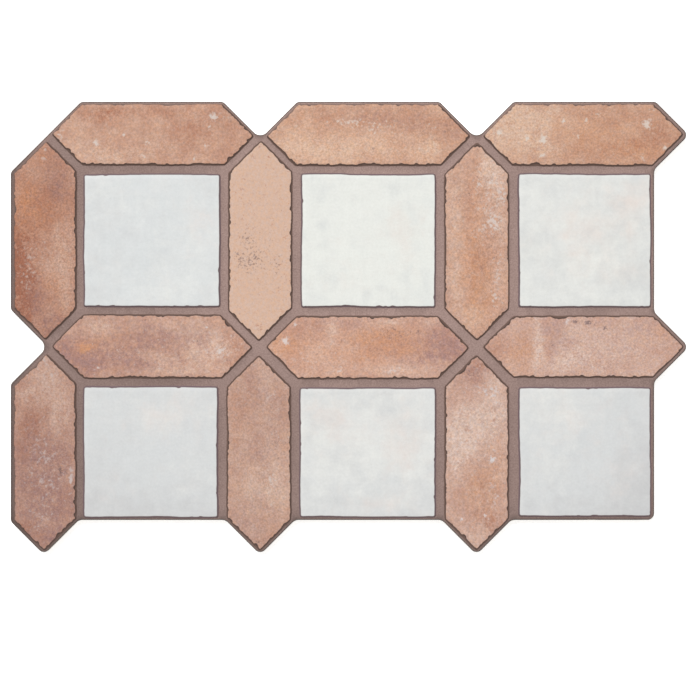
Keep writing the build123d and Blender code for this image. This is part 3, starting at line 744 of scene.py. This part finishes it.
def webSelected(mesh, finish, toMm=1):
    # the flat gap between the selected loops; the fill tool folds a face over where points are nearly in line
    bm = bmesh.from_edit_mesh(mesh)
    bm.verts.index_update()
    edges = [e for e in bm.edges if e.select]
    verts = sorted({v for e in edges for v in e.verts}, key=lambda v: v.index)
    place = {v: i for i, v in enumerate(verts)}
    loops = [[place[v] for v in e.verts] for e in edges]
    flat = [v.co.xy * toMm for v in verts]
    points, _, corners, sources, _, _ = geometry.delaunay_2d_cdt(flat, loops, [], 1, 0.00001)
    # a triangle whose middle has an even number of loop edges to its right lies in a hole
    middles = np.array([sum((points[i] for i in c), Vector((0, 0))) / 3 for c in corners])
    ends = np.array([[v.co.xy * toMm for v in e.verts] for e in edges])
    (ax, ay), (bx, by) = ends[:, 0].T[:, :, None], ends[:, 1].T[:, :, None]
    x, y = middles.T[:, None, :]
    spans = (ay > y) != (by > y)
    crossings = spans & (x < (bx - ax) * (y - ay) / np.where(by == ay, 1, by - ay) + ax)
    for corner, count in zip(corners, crossings.sum(axis=0)):
        if count % 2:
            bm.faces.new([verts[sources[i][0]] for i in corner]).material_index = finishNames.index(finish)
    bmesh.update_edit_mesh(mesh)


def pressFace(number, face, dice):
    edge = picketEdge if face["kind"] == "picket" else squareEdge
    rings = edge["rings"]
    frames = cornerFrames(face["corners"])
    spots = outlineSpots(frames, edge["step"])
    base = [outlinePoint(frames, s, 0.0, tile["cornerRadius"]) for s in spots]
    waves, bites, ease = edgeShape(face, edge, base, dice)
    sides = [sideName(frames[k][1 if onRounding and share < 0.5 else 2]) for k, onRounding, share in spots]

    def placeRing(index):
        bm = bmesh.from_edit_mesh(pad.data)
        ring, order, level = rings[index], bm.verts.layers.int["order"], bm.verts.layers.int["ring"]
        openSide = bm.verts.layers.float["openSide"]
        for v in (v for v in bm.verts if v.select):
            i = v[order]
            out = min(0.0, ring["inset"]) * (atCorners["foot"] + (1 - atCorners["foot"]) * ease[i])
            inset = out + max(0.0, ring["inset"]) + ring["wave"] * waves[i] + ring["chip"] * bites[i]
            radius = tile["cornerRadius"] - out
            p = outlinePoint(frames, spots[i], inset, radius) + face["centre"]
            v.co = (p.x, p.y, tile["thickness"] - ring["drop"])
            v[level] = index
            # marks the sides open to the light, whose dark edge and stain are painted lighter
            v[openSide] = float(sides[i] in face["open"])

    # the edge: a ring of points, drawn up and in
    bpy.ops.object.select_all(action="DESELECT")
    bpy.ops.mesh.primitive_circle_add(vertices=len(spots), fill_type="NOTHING")
    pad = bpy.context.object
    pad.name = face["name"]
    bpy.ops.object.mode_set(mode="EDIT")
    bm = bmesh.from_edit_mesh(pad.data)
    for name in ("order", "ring", "pad"):
        bm.verts.layers.int.new(name)
    bm.verts.layers.float.new("openSide")
    order = bm.verts.layers.int["order"]
    for i, v in enumerate(bm.verts):
        v[order] = i
    placeRing(0)
    for index in range(1, len(rings)):
        bpy.ops.mesh.extrude_edges_indiv()
        placeRing(index)
    bpy.ops.object.mode_set(mode="OBJECT")

    # the inside: a grid, cut along the slanted sides
    inset = rings[-1]["inset"] + field["cell"]
    inside = [here + wayIn * inset + face["centre"] for here, _, _, _, wayIn in frames]
    low = Vector((min(p.x for p in inside), min(p.y for p in inside)))
    high = Vector((max(p.x for p in inside), max(p.y for p in inside)))
    middle, size = (low + high) / 2, high - low
    bpy.ops.mesh.primitive_grid_add(
        x_subdivisions=round(size.x / field["cell"]), y_subdivisions=round(size.y / field["cell"]),
        size=1, location=(middle.x, middle.y, tile["thickness"]))
    grid = bpy.context.object
    grid.scale = (size.x, size.y, 1)
    bpy.ops.object.transform_apply(location=True, rotation=True, scale=True)
    bpy.ops.object.mode_set(mode="EDIT")
    for p, (_, _, last, _, _) in zip(inside, frames):
        if abs(last.x * last.y) > 0.1:  # neither level nor upright
            bpy.ops.mesh.select_all(action="SELECT")
            bpy.ops.mesh.bisect(plane_co=(p.x, p.y, 0), plane_no=(last.x, last.y, 0), clear_outer=True)
    bm = bmesh.from_edit_mesh(grid.data)
    level = bm.verts.layers.int.new("ring")
    for v in bm.verts:
        v[level] = len(rings)
    bpy.ops.object.mode_set(mode="OBJECT")
    pad.select_set(True)
    bpy.context.view_layer.objects.active = pad
    bpy.ops.object.join()

    # the band between the last ring and the grid
    for finish in finishes.values():
        pad.data.materials.append(finish)
    bpy.ops.object.mode_set(mode="EDIT")
    bpy.ops.mesh.select_all(action="DESELECT")
    bm = bmesh.from_edit_mesh(pad.data)
    level = bm.verts.layers.int["ring"]
    for e in bm.edges:
        e.select = e.is_boundary and all(v[level] >= len(rings) - 1 for v in e.verts)
    webSelected(pad.data, face["kind"])
    bm = bmesh.from_edit_mesh(pad.data)
    level, owner = bm.verts.layers.int["ring"], bm.verts.layers.int["pad"]
    for v in bm.verts:
        v[owner] = number + 1
        if v[level] >= len(rings) - 1:
            v.co.z -= field["hollow"] * (0.5 + 0.5 * noise.noise(v.co / field["length"]))
    for f in bm.faces:
        onWall = max(v[level] for v in f.verts) <= wallRings
        f.material_index = finishNames.index(face["kind"] + "Wall" if onWall else face["kind"])
    bpy.ops.object.mode_set(mode="OBJECT")
    pad.scale = (0.001, 0.001, 0.001)
    bpy.ops.object.transform_apply(location=True, rotation=True, scale=True)
    return pad


# The seed of the dice and the bends, what is merged in metres, what counts as the joint floor in mm, and the
# sharpest edge in degrees that is shaded smooth
making = dict(seed=41, merge=0.000001, atFloor=0.01, smoothTo=40)


def makeTile(faces):
    # the slab is a copy of the solid with its face taken off at the joint floor
    bpy.ops.object.select_all(action="DESELECT")
    slab = bpy.data.objects.new("picketTile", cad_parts["picket_tile"].data.copy())
    bpy.context.collection.objects.link(slab)
    bpy.context.view_layer.objects.active = slab
    slab.select_set(True)
    slab.data.materials.clear()
    for finish in finishes.values():
        slab.data.materials.append(finish)
    bpy.ops.object.mode_set(mode="EDIT")
    bpy.ops.mesh.select_all(action="SELECT")
    bpy.ops.mesh.remove_doubles(threshold=making["merge"])
    bpy.ops.mesh.customdata_custom_splitnormals_clear()  # the merge spoils the solid's own normals
    bpy.ops.mesh.select_all(action="DESELECT")
    bm = bmesh.from_edit_mesh(slab.data)
    for f in bm.faces:
        f.select = all(v.co.z * 1000 > jointFloor - making["atFloor"] for v in f.verts)
    bpy.ops.mesh.delete(type="FACE")
    bpy.ops.object.mode_set(mode="OBJECT")
    print("slab:", len(slab.data.polygons), "faces")

    dice = random.Random(making["seed"])
    pads = [pressFace(number, face, dice) for number, face in enumerate(faces)]
    print("raised faces:", len(pads), "with", sum(len(p.data.polygons) for p in pads), "faces")

    # joined, and the joint floor filled between the rim and the feet of the faces
    bpy.ops.object.select_all(action="DESELECT")
    for pad in pads + [slab]:
        pad.select_set(True)
    bpy.context.view_layer.objects.active = slab
    bpy.ops.object.join()
    bpy.ops.object.mode_set(mode="EDIT")
    bpy.ops.mesh.select_mode(type="EDGE")
    bpy.ops.mesh.select_all(action="DESELECT")
    bpy.ops.mesh.select_non_manifold(extend=False, use_wire=False, use_boundary=True,
                                     use_multi_face=False, use_non_contiguous=False, use_verts=False)
    webSelected(slab.data, "joint", toMm=1000)
    bpy.ops.mesh.select_all(action="SELECT")
    bpy.ops.mesh.normals_make_consistent(inside=False)
    bm = bmesh.from_edit_mesh(slab.data)
    print("open edges:", sum(not e.is_manifold for e in bm.edges),
          "triangles:", sum(len(f.verts) - 2 for f in bm.faces))
    bpy.ops.object.mode_set(mode="OBJECT")
    bpy.ops.object.shade_smooth_by_angle(angle=math.radians(making["smoothTo"]))
    return slab


# How the spots of tone lose their even shape: the length of a bend in mm and its reach as a share of the
# spot. Then how far apart two faces take their pattern, in metres, and how far below the joint floor the rim
# begins, in mm.
toning = dict(bend=13.0, reach=0.55, apart=0.37, rim=1)


def layTones(mesh, faces):
    # the shaders read where a point lies on its face, how high it is, and how strong each tone is there
    owners, levels = [0] * len(mesh.vertices), [0] * len(mesh.vertices)
    mesh.attributes["pad"].data.foreach_get("value", owners)
    mesh.attributes["ring"].data.foreach_get("value", levels)
    lip = len(picketEdge["rings"]) - 1
    spots, rises, firings, sands = [], [], [], [1.0] * len(owners)
    # the band just inside a face's edge, where the squares get a painted highlight
    edgeHighlights = [float(wallRings <= level < lip) for level in levels]
    rimFoot = (jointFloor - toning["rim"]) / 1000
    rims = [float(not owner and v.co.z > rimFoot) for v, owner in zip(mesh.vertices, owners)]
    tones = {name: [0.0] * len(owners) for name in toneNames}
    noise.seed_set(making["seed"])  # or the bends would differ from run to run
    for i, (v, owner) in enumerate(zip(mesh.vertices, owners)):
        if not owner:
            spots += [v.co.x, v.co.y, v.co.z]
            rises.append(0.0)
            firings += [1.0, 1.0, 1.0]
            continue
        face = faces[owner - 1]
        looks = faceLooks[face["name"]]
        local = v.co.xy * 1000 - face["centre"]
        along = local.yx if face["upright"] else local
        spots += [along.x / 1000, along.y / 1000, owner * toning["apart"]]
        rises.append(1.0 if levels[i] >= lip else (v.co.z * 1000 - jointFloor) / tile["jointDepth"])
        firings += looks["fired"]
        sands[i] = looks.get("sandy", 1.0)
        across, up = local.x / face["half"].x, local.y / face["half"].y
        drift = noise.noise_vector(v.co * 1000 / toning["bend"]) * toning["reach"]
        for name in looks.keys() & toneNames:
            for x, y, w, h, strength in looks[name]:
                off = ((across - x) / w + drift.x) ** 2 + ((up - y) / h + drift.y) ** 2
                tones[name][i] += strength * math.exp(-off)
    for name, values in dict(faceSpot=spots, fired=firings).items():
        mesh.attributes.new(name, "FLOAT_VECTOR", "POINT").data.foreach_set("vector", values)
    for name, values in (tones | dict(rise=rises, sandy=sands, brim=edgeHighlights, rim=rims)).items():
        mesh.attributes.new(name, "FLOAT", "POINT").data.foreach_set("value", values)
    for name in ("pad", "ring", "order"):
        mesh.attributes.remove(mesh.attributes[name])


# Share of the map left free around and given to the back and sides, how upright a side is, the fold in
# degrees at which the back and sides come apart, and the room between them
bakeMap = dict(edge=0.005, strip=0.325, steep=0.3, fold=60, margin=0.004)


def layMap(piece):
    # one map for a bake: the face laid flat over the whole width, back and sides packed in a strip below it
    (left, low, _), (right, _, _) = cadBox
    scale = (1 - 2 * bakeMap["edge"]) / (right - left)
    piece.data.uv_layers.remove(piece.data.uv_layers[0])
    piece.data.uv_layers.new(name="OFBake")
    bpy.ops.object.mode_set(mode="EDIT")
    bpy.ops.mesh.select_mode(type="FACE")
    bpy.ops.mesh.select_all(action="DESELECT")
    bm = bmesh.from_edit_mesh(piece.data)
    for f in bm.faces:
        if f.normal.z < bakeMap["steep"]:
            f.select = True
    bpy.ops.uv.smart_project(angle_limit=math.radians(bakeMap["fold"]), island_margin=bakeMap["margin"])
    bm = bmesh.from_edit_mesh(piece.data)
    bake = bm.loops.layers.uv["OFBake"]
    for f in bm.faces:
        for loop in f.loops:
            if f.normal.z < bakeMap["steep"]:
                loop[bake].uv.y *= bakeMap["strip"]
            else:
                place = loop.vert.co
                loop[bake].uv = (bakeMap["edge"] + (place.x - left) * scale,
                                 bakeMap["edge"] + bakeMap["strip"] + (place.y - low) * scale)
    bpy.ops.object.mode_set(mode="OBJECT")


faces = layOutFaces()
picketTile = makeTile(faces)
layTones(picketTile.data, faces)
layMap(picketTile)
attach(picketTile, "root")
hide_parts("picket_tile")
print("tile finished")

# Studio: a lit white table, even light from all round and a soft key from the upper left
studio = dict(
    floorSize=6.0,
    floorDrop=0.0002,  # under the tile's back, in metres
    floorColour="#f8f8f8",
    floorRoughness=0.9,
    floorGlow=0.50,
    fill=0.55,
    keyStrength=1.95,
    keyFrom=(-0.35, 0.8, 1.1),
    keySpread=20.0,
    lens=85.0,
    sensor=36.0,
    frameWidth=0.6207,  # what the picture spans at the tile's face, in metres
    aim=(0.0156, -0.0348),  # under the middle of the picture
)
bpy.ops.mesh.primitive_plane_add(size=studio["floorSize"], location=(0, 0, -studio["floorDrop"]))
floor = bpy.context.object
floor.name = "studioFloor"
floorFinish, _ = newFinish("paleTable")  # a pale lit table, so that the tile stands on near white
floorShader = floorFinish.node_tree.nodes["Principled BSDF"]
floorLook = {"Base Color": toLinear(studio["floorColour"]), "Roughness": studio["floorRoughness"],
             "Emission Color": (1, 1, 1, 1), "Emission Strength": studio["floorGlow"]}
for name, value in floorLook.items():
    floorShader.inputs[name].default_value = value
floor.data.materials.append(floorFinish)

world = bpy.data.worlds.new("studioWorld")
bpy.context.scene.world = world
world.use_nodes = True
world.node_tree.nodes["Background"].inputs["Color"].default_value = (1, 1, 1, 1)
world.node_tree.nodes["Background"].inputs["Strength"].default_value = studio["fill"]

bpy.ops.object.light_add(type="SUN", location=studio["keyFrom"])
key = bpy.context.object
key.name = "softKey"
key.data.energy = studio["keyStrength"]
key.data.angle = math.radians(studio["keySpread"])
key.rotation_euler = (-key.location).to_track_quat("-Z", "Y").to_euler()

distance = studio["frameWidth"] / studio["sensor"] * studio["lens"]
bpy.ops.object.camera_add(location=(*studio["aim"], tile["thickness"] / 1000 + distance), rotation=(0, 0, 0))
camera = bpy.context.object
camera.data.lens = studio["lens"]
camera.data.sensor_width = studio["sensor"]
bpy.context.scene.camera = camera
bpy.context.scene.view_settings.view_transform = "Standard"
print("studio set")
